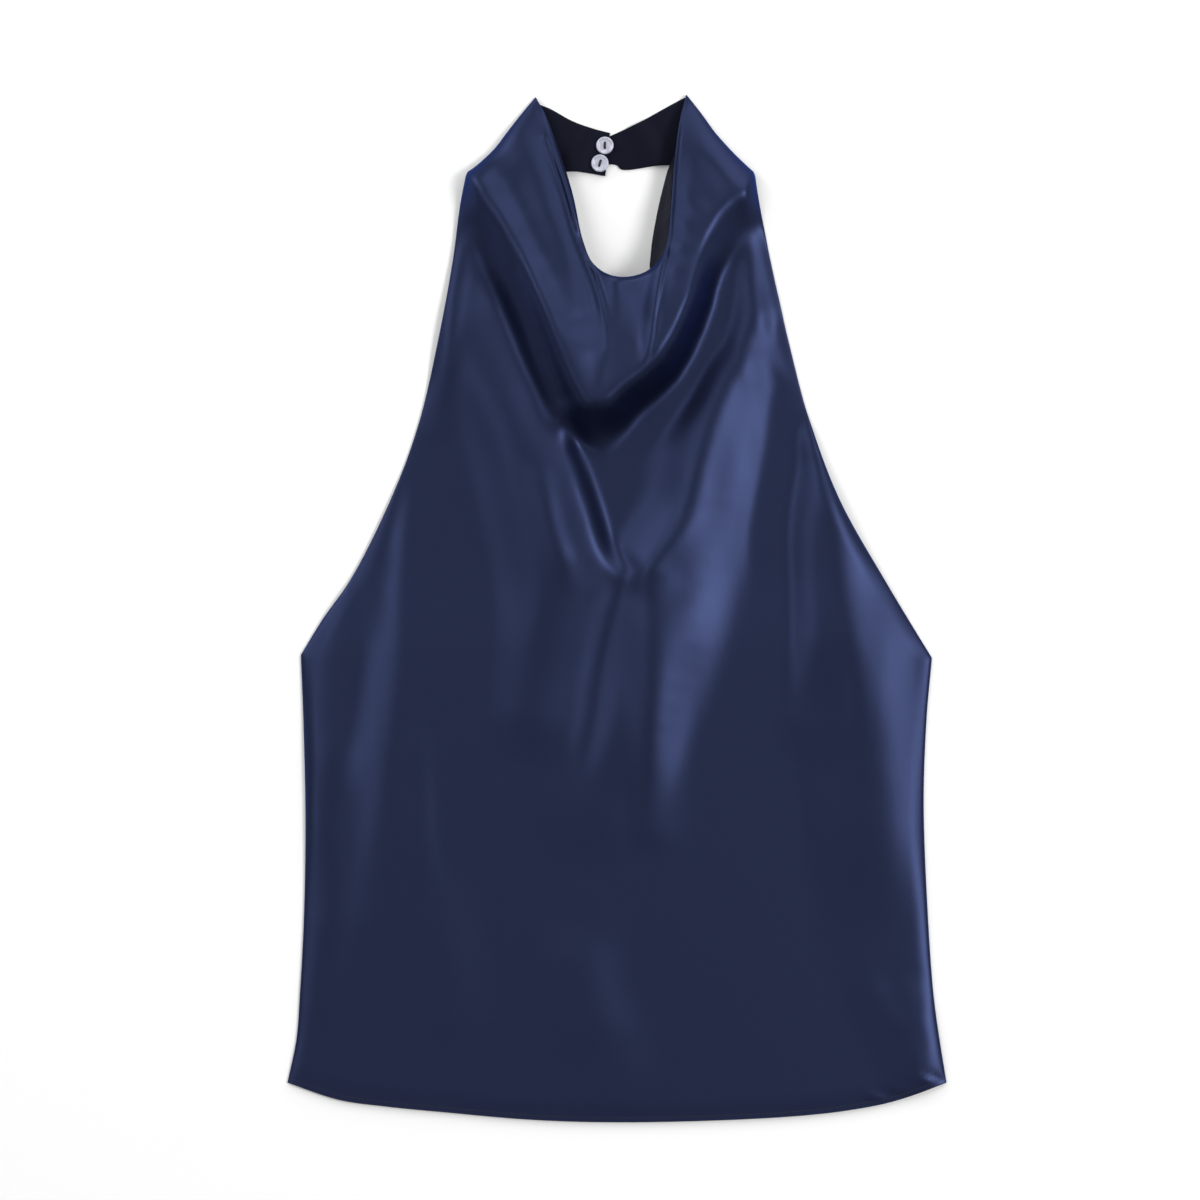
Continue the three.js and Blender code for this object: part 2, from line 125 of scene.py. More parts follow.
class CutLine:
    """A smooth line through points of the plan, followed by its length."""

    def __init__(self, points: Points, fine: int = 24) -> None:
        """Lay the line through its points.

        Args:
            points: Points of the plan, in millimetres.
            fine: Straight parts between two of them.
        """
        p = np.array(points, dtype=float)
        p = np.vstack([2 * p[0] - p[1], p, 2 * p[-1] - p[-2]])
        gap = np.maximum(np.linalg.norm(np.diff(p, axis=0), axis=1) ** 0.5, 1e-6)
        t = np.linspace(0, 1, fine, endpoint=False)[:, None]
        parts = []
        for k in range(1, len(p) - 2):
            a, b, c = gap[k - 1], gap[k], gap[k + 1]
            start = ((p[k] - p[k - 1]) / a - (p[k + 1] - p[k - 1]) / (a + b) + (p[k + 1] - p[k]) / b) * b
            end = ((p[k + 1] - p[k]) / b - (p[k + 2] - p[k]) / (b + c) + (p[k + 2] - p[k + 1]) / c) * b
            rise = 3 * (p[k + 1] - p[k]) - 2 * start - end
            fall = 2 * (p[k] - p[k + 1]) + start + end
            parts.append(p[k] + start * t + rise * t**2 + fall * t**3)
        self.path = np.vstack([*parts, p[-2:-1]])
        self.run = np.concatenate([[0.0], np.cumsum(np.linalg.norm(np.diff(self.path, axis=0), axis=1))])
        self.length = float(self.run[-1])

    def at(self, share: np.ndarray) -> np.ndarray:
        """Find points at shares of the line's length.

        Args:
            share: Shares from 0 to 1.

        Returns:
            Points, with x and y last.
        """
        way = np.clip(share, 0, 1) * self.length
        return np.stack([np.interp(way, self.run, self.path[:, axis]) for axis in (0, 1)], axis=-1)

    def bow(self, share: np.ndarray) -> np.ndarray:
        """Find how far the line stands from the straight line between its ends."""
        ends = self.at(np.array([0.0, 1.0]))
        return self.at(share) - (ends[0] * (1 - share[..., None]) + ends[1] * share[..., None])


# Finishes


class Nodes:
    """A material's nodes, with a principled shader ready to dress."""

    def __init__(self, name: str) -> None:
        """Start a material of this name."""
        self.material = bpy.data.materials.new(name)
        self.material.use_nodes = True
        self.tree = self.material.node_tree
        self.shader = self.tree.nodes["Principled BSDF"]

    def add(self, kind: str, **values: object) -> Node:
        """Add a node and set its properties.

        Args:
            kind: The node's type, without the ShaderNode in front.
            values: Properties by name.

        Returns:
            The node.
        """
        node = self.tree.nodes.new(f"ShaderNode{kind}")
        for key, value in values.items():
            setattr(node, key, value)
        return node

    def join(self, source: NodeSocket, target: NodeSocket) -> None:
        """Link one socket to another."""
        self.tree.links.new(source, target)

    def set(self, **values: object) -> None:
        """Set the shader's own sockets, an underscore standing for a space."""
        for key, value in values.items():
            self.shader.inputs[key.replace("_", " ")].default_value = value

    def placed(self, scale: tuple[float, float, float], woven: bool) -> NodeSocket:
        """Give coordinates for a pattern.

        Args:
            scale: Repeats for each metre along the three ways.
            woven: Whether the pattern follows the flat cut instead of the place in space.

        Returns:
            The socket that holds the coordinates.
        """
        if woven:
            source = self.add("UVMap", uv_map="UVMap").outputs["UV"]
        else:
            source = self.add("TexCoord").outputs["Object"]
        mapping = self.add("Mapping")
        mapping.inputs["Scale"].default_value = scale
        self.join(source, mapping.inputs["Vector"])
        return mapping.outputs["Vector"]

    def noise(self, place: NodeSocket, detail: float) -> NodeSocket:
        """Add a soft random pattern, one blot for each unit."""
        node = self.add("TexNoise")
        node.inputs["Scale"].default_value = 1.0
        node.inputs["Detail"].default_value = detail
        self.join(place, node.inputs["Vector"])
        return node.outputs["Fac"]

    def ranged(self, source: NodeSocket, low: float, high: float) -> NodeSocket:
        """Turn a pattern's middle range into values from low to high."""
        node = self.add("MapRange")
        for name, value in (("From Min", 0.3), ("From Max", 0.7), ("To Min", low), ("To Max", high)):
            node.inputs[name].default_value = value
        self.join(source, node.inputs["Value"])
        return node.outputs["Result"]

    def bump(self, height: NodeSocket, depth: float, under: Node | None = None) -> Node:
        """Raise the surface by a pattern.

        Args:
            height: The pattern.
            depth: How deep it is, in millimetres.
            under: A bump that this one adds to.

        Returns:
            The bump node.
        """
        node = self.add("Bump")
        node.inputs["Strength"].default_value = 1.0
        node.inputs["Distance"].default_value = depth * MM
        self.join(height, node.inputs["Height"])
        if under:
            self.join(under.outputs["Normal"], node.inputs["Normal"])
        return node


@dataclass(frozen=True)
class SatinFinish:
    """Satin, with its threads along the cut and a sheen in its own colour."""

    name: str
    color: tuple[float, float, float]
    deep: tuple[float, float, float]
    metallic: float
    roughness: float
    tint: tuple[float, float, float]
    gloss: float = 0.5
    uneven: float = 0.02
    cloud: tuple[float, float] = (60.0, 140.0)
    slub: tuple[float, float] = (5.0, 60.0)
    slub_depth: float = 0.02
    thread: float = 0.36
    thread_depth: float = 0.004
    thread_waver: float = 0.6

    def make(self) -> Material:
        """Build the material.

        Returns:
            The satin, whose weave follows the piece's flat cut.
        """
        nodes = Nodes(self.name)
        nodes.set(Metallic=self.metallic, Specular_IOR_Level=self.gloss, Specular_Tint=(*self.tint, 1.0))
        cloudy = nodes.noise(self.along_cut(nodes, *self.cloud), 2.0)
        blend = nodes.add("Mix", data_type="RGBA")
        blend.inputs["A"].default_value = (*self.deep, 1.0)
        blend.inputs["B"].default_value = (*self.color, 1.0)
        nodes.join(nodes.ranged(cloudy, 0.35, 1.0), blend.inputs["Factor"])
        nodes.join(blend.outputs["Result"], nodes.shader.inputs["Base Color"])
        rough = nodes.ranged(cloudy, self.roughness + self.uneven, self.roughness - self.uneven)
        nodes.join(rough, nodes.shader.inputs["Roughness"])
        weave = nodes.add("TexWave", wave_type="BANDS", bands_direction="X", wave_profile="SIN")
        weave.inputs["Scale"].default_value = BAND_SCALE
        weave.inputs["Distortion"].default_value = self.thread_waver
        weave.inputs["Detail Scale"].default_value = 0.3
        nodes.join(self.along_cut(nodes, self.thread, self.thread), weave.inputs["Vector"])
        slub = nodes.noise(self.along_cut(nodes, *self.slub), 1.0)
        first = nodes.bump(slub, self.slub_depth)
        second = nodes.bump(weave.outputs["Fac"], self.thread_depth, first)
        nodes.join(second.outputs["Normal"], nodes.shader.inputs["Normal"])
        return nodes.material

    def along_cut(self, nodes: Nodes, across: float, up: float) -> NodeSocket:
        """Give coordinates on the flat cut, one unit for so many millimetres each way."""
        return nodes.placed((1 / MM / across, 1 / MM / up, 1.0), woven=True)


@dataclass(frozen=True)
class PearlFinish:
    """A light button material with a cloudy pearl in it."""

    name: str = "pearl"
    light: tuple[float, float, float] = (0.56, 0.57, 0.68)
    shade: tuple[float, float, float] = (0.34, 0.35, 0.43)
    clouds: tuple[float, float, float] = (420.0, 180.0, 420.0)
    depth: float = 0.02

    def make(self) -> Material:
        """Build the material.

        Returns:
            The pearl, clouded by place on the button.
        """
        nodes = Nodes(self.name)
        nodes.set(Coat_Weight=0.5, Coat_Roughness=0.12, Specular_IOR_Level=0.55)
        cloud = nodes.noise(nodes.placed(self.clouds, woven=False), 3.0)
        blend = nodes.add("Mix", data_type="RGBA")
        blend.inputs["A"].default_value = (*self.shade, 1.0)
        blend.inputs["B"].default_value = (*self.light, 1.0)
        nodes.join(nodes.ranged(cloud, 0.1, 1.0), blend.inputs["Factor"])
        nodes.join(blend.outputs["Result"], nodes.shader.inputs["Base Color"])
        nodes.join(nodes.ranged(cloud, 0.3, 0.22), nodes.shader.inputs["Roughness"])
        nodes.join(nodes.bump(cloud, self.depth).outputs["Normal"], nodes.shader.inputs["Normal"])
        return nodes.material


@dataclass(frozen=True)
class ThreadFinish:
    """Twisted sewing thread."""

    name: str = "thread"
    color: tuple[float, float, float] = (0.004, 0.004, 0.008)
    twists: float = 5000.0
    depth: float = 0.05

    def make(self) -> Material:
        """Build the material.

        Returns:
            The thread, with its twist as a fine bump.
        """
        nodes = Nodes(self.name)
        nodes.set(Base_Color=(*self.color, 1.0), Roughness=0.55, Sheen_Weight=0.15)
        twist = nodes.noise(nodes.placed((self.twists,) * 3, woven=False), 1.0)
        nodes.join(nodes.bump(twist, self.depth).outputs["Normal"], nodes.shader.inputs["Normal"])
        return nodes.material


@dataclass(frozen=True)
class PaperFinish:
    """The plain pale surface below."""

    name: str = "pale_surface"
    color: tuple[float, float, float] = (0.93, 0.93, 0.93)
    grains: float = 60.0

    def make(self) -> Material:
        """Build the material.

        Returns:
            A matt white with a barely seen grain.
        """
        nodes = Nodes(self.name)
        nodes.set(Base_Color=(*self.color, 1.0), Specular_IOR_Level=0.1)
        grain = nodes.noise(nodes.placed((self.grains,) * 3, woven=False), 2.0)
        nodes.join(nodes.ranged(grain, 0.85, 0.95), nodes.shader.inputs["Roughness"])
        return nodes.material


SATIN = SatinFinish("navy_satin", (0.024, 0.032, 0.077), (0.021, 0.028, 0.068), 0.9, 0.44, (0.35, 0.45, 1.0))
WRONG_SIDE = SatinFinish("navy_satin_dull_side", (0.0055, 0.006, 0.0115), (0.0045, 0.005, 0.009), 0.3, 0.62,
                         (0.3, 0.33, 0.6), 0.3)


# The cut and the way it lies


@dataclass(frozen=True)
class Outline:
    """The front's outline in the plan. Lists run upwards, or from left to right."""

    seams: dict[Side, Points]
    armholes: dict[Side, Points]
    shoulders: dict[Side, Points]
    hem: Points
    neckline: Points
    underarm: float = 0.405
    shoulder: float = 0.9
    sag_power: float = 1.6

    def edge(self, side: Side, v: np.ndarray) -> np.ndarray:
        """Find the outline on one side.

        Args:
            side: Left or right.
            v: Shares of the way up.

        Returns:
            Points of the plan.
        """
        seam, arm, top = (CutLine(table[side]) for table in (self.seams, self.armholes, self.shoulders))
        low = seam.at(v / self.underarm)
        middle = arm.at((v - self.underarm) / (self.shoulder - self.underarm))
        high = top.at((v - self.shoulder) / (1 - self.shoulder))
        low = np.where((v > self.underarm)[..., None], middle, low)
        return np.where((v > self.shoulder)[..., None], high, low)

    def plan(self, u: np.ndarray, v: np.ndarray) -> np.ndarray:
        """Place the cloth's own rows and columns in the plan.

        Args:
            u: Shares across, from the left edge to the right one.
            v: Shares up, from the hem to the neckline, in the same shape.

        Returns:
            Points of the plan.
        """
        left, right = self.edge(Side.LEFT, v), self.edge(Side.RIGHT, v)
        sag = (v**self.sag_power)[..., None]
        across = CutLine(self.hem).bow(u) * (1 - sag) + CutLine(self.neckline).bow(u) * sag
        return mix(left, right, u[..., None]) + across


OUTLINE = Outline(
    seams={
        Side.LEFT: ((-219.7, -316.7), (-213.7, -287.9), (-211.2, -255), (-208.6, -205), (-207.6, -140),
                    (-209, -75), (-210.7, -31)),
        Side.RIGHT: ((219.7, -316.7), (215, -287.9), (211, -258), (207.2, -205), (204.4, -130),
                     (206.3, -74), (209.9, -33)),
    },
    armholes={
        Side.LEFT: ((-210.7, -31), (-196.3, -7.5), (-177.6, 19.2), (-150.9, 72.6), (-131.5, 126),
                    (-118.9, 179.4), (-109.5, 230.2), (-104.2, 269.6), (-100.2, 291)),
        Side.RIGHT: ((209.9, -33), (194.3, -7.5), (178.3, 19.2), (148.2, 72.6), (128.2, 126),
                     (114.2, 179.4), (102.8, 230.2), (94.8, 269.6), (91.5, 291)),
    },
    shoulders={
        Side.LEFT: ((-100.2, 291), (-95, 294.6), (-82.1, 306.3), (-72.8, 318.3), (-63.4, 330.3),
                    (-54.1, 341.4)),
        Side.RIGHT: ((91.5, 291), (83.5, 298.3), (75.5, 306.3), (64.8, 318.3), (56.1, 330.3), (46.1, 343)),
    },
    hem=((-219.7, -316.7), (-185.6, -328), (-152.9, -332.6), (-114.2, -336.4), (-55.4, -341.4), (0, -343),
         (70.8, -341.6), (122.2, -338.7), (155, -335), (185, -329), (219.7, -316.7)),
    neckline=((-54.1, 341.4), (-48.1, 329.7), (-38.1, 303), (-30, 276.3), (-23.4, 246.2), (-16.7, 230.2),
              (-7.3, 222.9), (5.3, 220.5), (18.7, 223.5), (28.7, 231.5), (33.4, 242.9), (36.1, 269.6),
              (38.1, 296.3), (41.4, 323), (46.1, 343)),
)


@dataclass(frozen=True)
class Foot:
    """How far a fold reaches to one side, how round its crest is and how crisply it ends there."""

    width: float
    soft: float
    crisp: float = 0.0


@dataclass(frozen=True)
class Fold:
    """A ridge, or with a negative height a trough, along a route of the plan.

    left and right are to the sides of the way along the route. start and end are the shares of the
    height that the route's ends have.
    """

    name: str
    height: float
    left: Foot
    right: Foot
    start: float
    end: float
    route: Points

    def lift(self, x: np.ndarray, y: np.ndarray, parts: int = 24, near: float = 1.5,
             taper: float = 0.3) -> np.ndarray:
        """Find how far the fold lifts the cloth.

        Args:
            x: Places in the plan.
            y: Places in the plan.
            parts: Straight parts that the route is followed in.
            near: How gently one part hands over to the next.
            taper: The share of the route over which each end changes the height.

        Returns:
            Heights in millimetres.
        """
        route = CutLine(self.route).at(np.linspace(0, 1, parts + 1))
        total, out, side, along = (np.zeros_like(x) for _ in range(4))
        for k in range(parts):
            step = route[k + 1] - route[k]
            length = float(np.hypot(*step))
            tx, ty = step / length
            t = np.clip(((x - route[k, 0]) * tx + (y - route[k, 1]) * ty) / length, 0, 1)
            rx = x - mix(route[k, 0], route[k + 1, 0], t)
            ry = y - mix(route[k, 1], route[k + 1, 1], t)
            d = np.hypot(rx, ry)
            weight = 1 / (d * d + near * near) ** 4
            total += weight
            out += weight * d
            side += weight * (tx * ry - ty * rx) / (d + 1)
            along += weight * (k + t) / parts
        to_left = smooth(-1, 1, side / total)
        width = mix(self.right.width, self.left.width, to_left)
        soft = mix(self.right.soft, self.left.soft, to_left)
        q = np.minimum(1, out / total / width)
        slope = (np.hypot(q, soft) - soft) / (np.hypot(1, soft) - soft)
        power = 2 - mix(self.right.crisp, self.left.crisp, to_left)
        share = along / total
        ends = mix(self.start, 1, smooth(0, taper, share)) * mix(1, self.end, smooth(1 - taper, 1, share))
        return self.height * np.maximum(1 - slope, 1e-9) ** power * ends


# The folds that the solids have too. A scratch fit to the photo's shading gave most of these numbers.
FOLDS = (
    Fold("first drape", 35.5, Foot(106, 0.5, 0.1), Foot(35, 0.1, -0.4), 0.5, 0.35,
         ((-95, 284), (-69, 249), (-49, 204), (-36, 169), (-22, 140), (-14, 134), (2, 147), (26, 167),
          (44, 202), (53, 236), (70, 270), (90, 280))),
    Fold("second drape, left arm", 11, Foot(11, 0.25, 1), Foot(97, 0.35, -0.55), 0.65, 0.25,
         ((-76, 226), (-48, 144), (-24, 71), (-9, 30), (10, 15), (29, 34))),
    Fold("second drape, right arm", 7, Foot(34, 0.45, -0.45), Foot(40, 0.3, -0.4), 1.1, 0.1,
         ((21, 34), (44, 63), (55, 101), (77, 160), (112, 191))),
    Fold("long ridge to the right armhole", 7, Foot(45, 1.15, -0.25), Foot(57, 0.9, -0.1), 0.1, 0.3,
         ((102, 175), (69, 119), (58, 72), (49, 32), (36, -21), (16, -77), (-9, -132))),
    Fold("ridge from the left armhole", 6, Foot(51, 0.65), Foot(37, 0.55), 0.5, 0.55,
         ((-114, 186), (-79, 135), (-62, 75), (-50, 12), (-57, -66))),
    Fold("short ridge at the right armhole", 5.5, Foot(48, 0.95, 0.3), Foot(34, 0.6), 1.4, 0.3,
         ((140, 106), (133, 53), (130, 3), (129, -69))),
    Fold("ridge under the left armhole", 2.5, Foot(22, 0.6), Foot(41, 0.6), 1.1, 0.4,
         ((-156, 77), (-158, 14), (-159, -27), (-167, -77), (-174, -128), (-180, -202))),
    Fold("ridge at the left underarm", 2.5, Foot(26, 0.65), Foot(17, 0.6), 1.05, 0.05,
         ((-187, 6), (-200, -62), (-205, -134), (-201, -201))),
    Fold("ridge down the right side", 5, Foot(33, 1.05, 0.6), Foot(57, 0.8, 0.35), 0.8, 0.2,
         ((157, 59), (170, -22), (172, -88), (178, -162), (189, -222))),
    Fold("trough beside the left neckline", -6.5, Foot(28, 0.6, 0.25), Foot(18, 0.6), 0.6, 0.6,
         ((-84, 301), (-64, 266), (-49, 233), (-29, 192))),
    Fold("crease along the left neckline", -2.5, Foot(8, 0.6), Foot(11, 0.6), 0.35, 0.1,
         ((-49, 313), (-39, 273), (-25, 237), (-18, 203), (-10, 171))),
    Fold("trough below the neckline", -2.5, Foot(18, 0.6), Foot(18, 0.6), 0.4, 0.1,
         ((8, 226), (13, 189), (12, 160))),
    Fold("edge along the right neckline", 2, Foot(6, 0.4), Foot(9, 0.4), 0.7, 0.3,
         ((44, 338), (37, 308), (36, 271), (33, 242), (31, 211), (26, 172))),
    Fold("trough beside the right neckline", -3, Foot(26, 0.6, 0.3), Foot(10, 0.6), 0.3, 0.45,
         ((53, 314), (49, 273), (44, 236), (27, 193))),
    Fold("line down from the second drape", -2, Foot(15, 0.6), Foot(18, 0.6, -0.15), 0.9, 0.05,
         ((5, 13), (-8, -27), (-16, -74), (-28, -125))),
    Fold("valley beyond the long ridge", -4, Foot(32, 0.6, 0.1), Foot(24, 0.6), 1.4, 0,
         ((101, 174), (115, 120), (105, 53), (109, -16), (93, -89))),
    Fold("small crease beside the second drape", 2, Foot(12, 0.6), Foot(15, 0.6), 0.6, 0.25,
         ((-51, 87), (-43, 50), (-31, 19))),
    Fold("valley beyond the short ridge", 2, Foot(29, 0.6, 0.45), Foot(17, 0.6), 0.6, 0.25,
         ((147, 70), (151, 19), (161, -34), (167, -101))),
    Fold("trough left of the middle", -2, Foot(26, 0.6), Foot(27, 0.6), 0.1, 0.1,
         ((-100, 60), (-102, -20), (-108, -110), (-118, -220))),
    Fold("trough left of the first drape", -7, Foot(12, 0.3, -0.25), Foot(43, 0.25, -0.1), 0.4, 0.6,
         ((-92, 235), (-72, 191), (-58, 158), (-43, 129), (-28, 114))),
    Fold("trough right of the first drape", -7.5, Foot(40, 0.25, -0.2), Foot(15, 0.3), 0.35, 0.65,
         ((87, 251), (71, 226), (58, 193), (39, 152), (10, 127))),
    Fold("ridge along the left armhole", 2.5, Foot(17, 0.6), Foot(20, 0.6), 0.3, 0.3,
         ((-100, 263), (-115, 202), (-119, 124))),
    Fold("ridge along the right armhole", 5, Foot(16, 0.6), Foot(31, 0.65, 0.2), 0.7, 0.5,
         ((86, 272), (92, 196), (130, 121))),
    Fold("swell above the hem", 2, Foot(35, 0.6), Foot(48, 0.65, 0.3), 0.1, 0.45,
         ((-22, -209), (-21, -252), (-1, -301))),
    Fold("swell at the left underarm", 3, Foot(22, 0.6), Foot(34, 0.6, 0.15), 0.35, 0.15,
         ((-169, 13), (-178, -61), (-190, -138))),
    Fold("valley under the left arm", -0.5, Foot(22, 0.55), Foot(22, 0.55), 0.4, 0.25,
         ((-126, 86), (-144, 6), (-155, -75))),
    Fold("ridge down the left side", 1.5, Foot(24, 0.55), Foot(18, 0.55), 0.25, 0.45,
         ((-192, -62), (-189, -161), (-198, -263))),
    Fold("swell at the right hem corner", 1, Foot(16, 0.55), Foot(28, 0.55, 0.1), 0.05, 1.15,
         ((163, -236), (183, -278), (204, -316))),
    Fold("soft ridge below the second drape", 3, Foot(33, 0.45, -0.3), Foot(21, 0.5, -0.3), 0.7, 0.5,
         ((19, 21), (23, -62), (23, -144))),
    Fold("swell above the left hem", 1.5, Foot(35, 0.55), Foot(28, 0.55), 0.5, 0.55,
         ((-131, -99), (-121, -181), (-112, -270))),
)


# Narrow folds that the scene alone has.
FINE_FOLDS = (
    Fold("rolled edge at the right neckline", 1.9, Foot(3.6, 0.2), Foot(2.5, 0.5), 0.5, 0.9,
         ((46.1, 343), (41.4, 323), (38.1, 296.3), (36.1, 269.6), (33.4, 242.9), (31.6, 236))),
    Fold("sharp ridge below the right neckline", 2.4, Foot(4, 0.25), Foot(9, 0.5), 0.8, 0.0,
         ((31.6, 236), (28.5, 222), (24.5, 200), (20.7, 174), (16.5, 158))),
    Fold("rolled edge at the left neckline", 0.9, Foot(2.2, 0.5), Foot(2.6, 0.5), 0.5, 0.2,
         ((-51, 336), (-41.5, 305), (-33, 276.5), (-26.4, 247), (-20, 229))),
    Fold("crease inside the left neckline", -3, Foot(4, 0.4), Foot(6, 0.5), 0.3, 0.2,
         ((-48.5, 313), (-38.5, 286), (-29, 256), (-20, 231), (-11.5, 206), (-6.5, 176))),
    Fold("swell above the right hem corner", 2.2, Foot(22, 0.8), Foot(26, 0.8), 0.5, 0.6,
         ((196, -262), (204, -290), (206, -312))),
    Fold("first pucker of the hem", 0.7, Foot(4, 0.5), Foot(4, 0.5), 0.3, 0.3,
         ((166, -324), (172, -326), (179, -327))),
    Fold("second pucker of the hem", 0.8, Foot(4, 0.5), Foot(4, 0.5), 0.3, 0.3,
         ((182, -318), (189, -321), (196, -322))),
    Fold("third pucker of the hem", 0.8, Foot(3, 0.5), Foot(3, 0.5), 0.3, 0.3,
         ((199, -311), (204, -314), (211, -317))),
    Fold("crease at the hem corner", -0.7, Foot(2.5, 0.5), Foot(2.5, 0.5), 0.3, 0.6,
         ((203, -310), (210, -311), (217, -315))),
)


@dataclass
class Drape:
    """The heights of the front's cloth over where it would lie flat, summed from its folds."""

    folds: tuple[Fold, ...]
    spacing: float = 2.0
    blur: float = 2.6
    corner: tuple[float, float] = (-232.0, -356.0)
    size: tuple[int, int] = (233, 357)
    heights: np.ndarray = field(init=False)

    def __post_init__(self) -> None:
        """Sum the folds over the plan, and let the cloth's stiffness round them."""
        x = self.corner[0] + self.spacing * np.arange(self.size[0])
        y = self.corner[1] + self.spacing * np.arange(self.size[1])
        gx, gy = np.meshgrid(x, y)
        total = np.maximum(0, sum(fold.lift(gx, gy) for fold in self.folds))
        self.heights = self.rounded(total)

    def rounded(self, heights: np.ndarray) -> np.ndarray:
        """Blur heights a little, along the rows and then along the columns."""
        reach = math.ceil(3 * self.blur / self.spacing)
        kernel = np.exp(-0.5 * (np.arange(-reach, reach + 1) * self.spacing / self.blur) ** 2)
        kernel /= kernel.sum()
        for axis in (0, 1):
            pad = [(reach, reach) if k == axis else (0, 0) for k in (0, 1)]
            wide = np.pad(heights, pad, mode="edge")
            count = heights.shape[axis]
            heights = sum(w * wide.take(range(k, k + count), axis=axis) for k, w in enumerate(kernel))
        return heights

    def at(self, x: np.ndarray, y: np.ndarray) -> np.ndarray:
        """Read the lift at places of the plan, blended between the four nearest."""
        i = np.clip((x - self.corner[0]) / self.spacing, 0, self.size[0] - 1.001)
        j = np.clip((y - self.corner[1]) / self.spacing, 0, self.size[1] - 1.001)
        ci, cj = i.astype(int), j.astype(int)
        fi, fj = i - ci, j - cj
        h = self.heights
        low = mix(h[cj, ci], h[cj, ci + 1], fi)
        high = mix(h[cj + 1, ci], h[cj + 1, ci + 1], fi)
        return mix(low, high, fj)


# Pieces of cloth


@dataclass
class ClothPiece:
    """A thin piece of cloth, made from a flat grid that is laid in its place."""

    name: str
    nodes: tuple[str, ...]
    slot: Slot
    flat: tuple[float, float]
    area: float
    rests_on: tuple[str, ...]
    thickness: float = 0.6
    turned: float = 1.0
    turning: tuple[float, float] = (3.0, 6.5)

    def points(self) -> np.ndarray:
        """Give the outer face as rows of points, shaped (rows, columns, 3), in millimetres."""
        raise NotImplementedError

    def spread(self) -> tuple[np.ndarray, np.ndarray]:
        """Space the grid's columns and rows along the cut."""
        raise NotImplementedError

    def build(self, face: Material, back: Material) -> Object:
        """Make the piece and say what it is.

        Args:
            face: The material of its outer face.
            back: The material of its inner face.

        Returns:
            The piece.
        """
        columns, rows = self.spread()
        points = self.points()
        bm = bmesh.new()
        bm.loops.layers.uv.new("UVMap")
        bmesh.ops.create_grid(bm, x_segments=len(columns) - 1, y_segments=len(rows) - 1, size=0.5,
                              calc_uvs=True)
        mesh = bpy.data.meshes.new(self.name)
        bm.to_mesh(mesh)
        bm.free()
        place = np.empty(len(mesh.vertices) * 3)
        mesh.vertices.foreach_get("co", place)
        place = place.reshape(-1, 3)
        i = np.rint((place[:, 0] + 0.5) * (len(columns) - 1)).astype(int)
        j = np.rint((place[:, 1] + 0.5) * (len(rows) - 1)).astype(int)
        mesh.vertices.foreach_set("co", (points[j, i] * MM).ravel())
        layer = mesh.uv_layers["UVMap"].data
        uv = np.empty(len(layer) * 2)
        layer.foreach_get("uv", uv)
        uv = uv.reshape(-1, 2)
        iu = np.rint(uv[:, 0] * (len(columns) - 1)).astype(int)
        ju = np.rint(uv[:, 1] * (len(rows) - 1)).astype(int)
        flat = np.stack([columns[iu] * self.flat[0], rows[ju] * self.flat[1]], axis=1)
        layer.foreach_set("uv", flat.ravel())
        mesh.polygons.foreach_set("use_smooth", np.ones(len(mesh.polygons), dtype=bool))
        mesh.materials.append(face)
        mesh.materials.append(back)
        mesh.update()
        piece = bpy.data.objects.new(self.name, mesh)
        bpy.context.collection.objects.link(piece)
        self.thicken(piece, points, i, j)
        self.declare(piece)
        return piece

    def thicken(self, piece: Object, points: np.ndarray, i: np.ndarray, j: np.ndarray) -> None:
        """Give the cloth its thickness, and more of it where the edges are turned in.

        Args:
            piece: The sheet.
            points: Its outer face.
            i: The column of each vertex.
            j: The row of each vertex.
        """
        x, y = points[..., 0], points[..., 1]
        run = np.hypot(np.diff(x, axis=1), np.diff(y, axis=1)).cumsum(axis=1)
        run = np.pad(run, ((0, 0), (1, 0)))
        climb = np.hypot(np.diff(x, axis=0), np.diff(y, axis=0)).cumsum(axis=0)
        climb = np.pad(climb, ((1, 0), (0, 0)))
        inward = np.minimum.reduce([run, run[:, -1:] - run, climb, climb[-1:] - climb])
        share = mix(self.turned, self.thickness, smooth(*self.turning, inward)) / self.turned
        group = piece.vertex_groups.new(name="turned_edge")
        weights = np.round(share[j, i], 2)
        for weight in np.unique(weights):
            group.add(np.flatnonzero(weights == weight).tolist(), float(weight), "REPLACE")
        wall = piece.modifiers.new("cloth", "SOLIDIFY")
        wall.thickness = self.turned * MM
        wall.offset = -1.0
        wall.vertex_group = group.name
        wall.material_offset = 1

    def declare(self, piece: Object) -> None:
        """Hang the piece under the root, hide the solids it stands for and log its faces."""
        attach(piece, "root")
        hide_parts(*self.nodes)
        log.info("%s: %d faces before its thickness", self.name, len(piece.data.polygons))


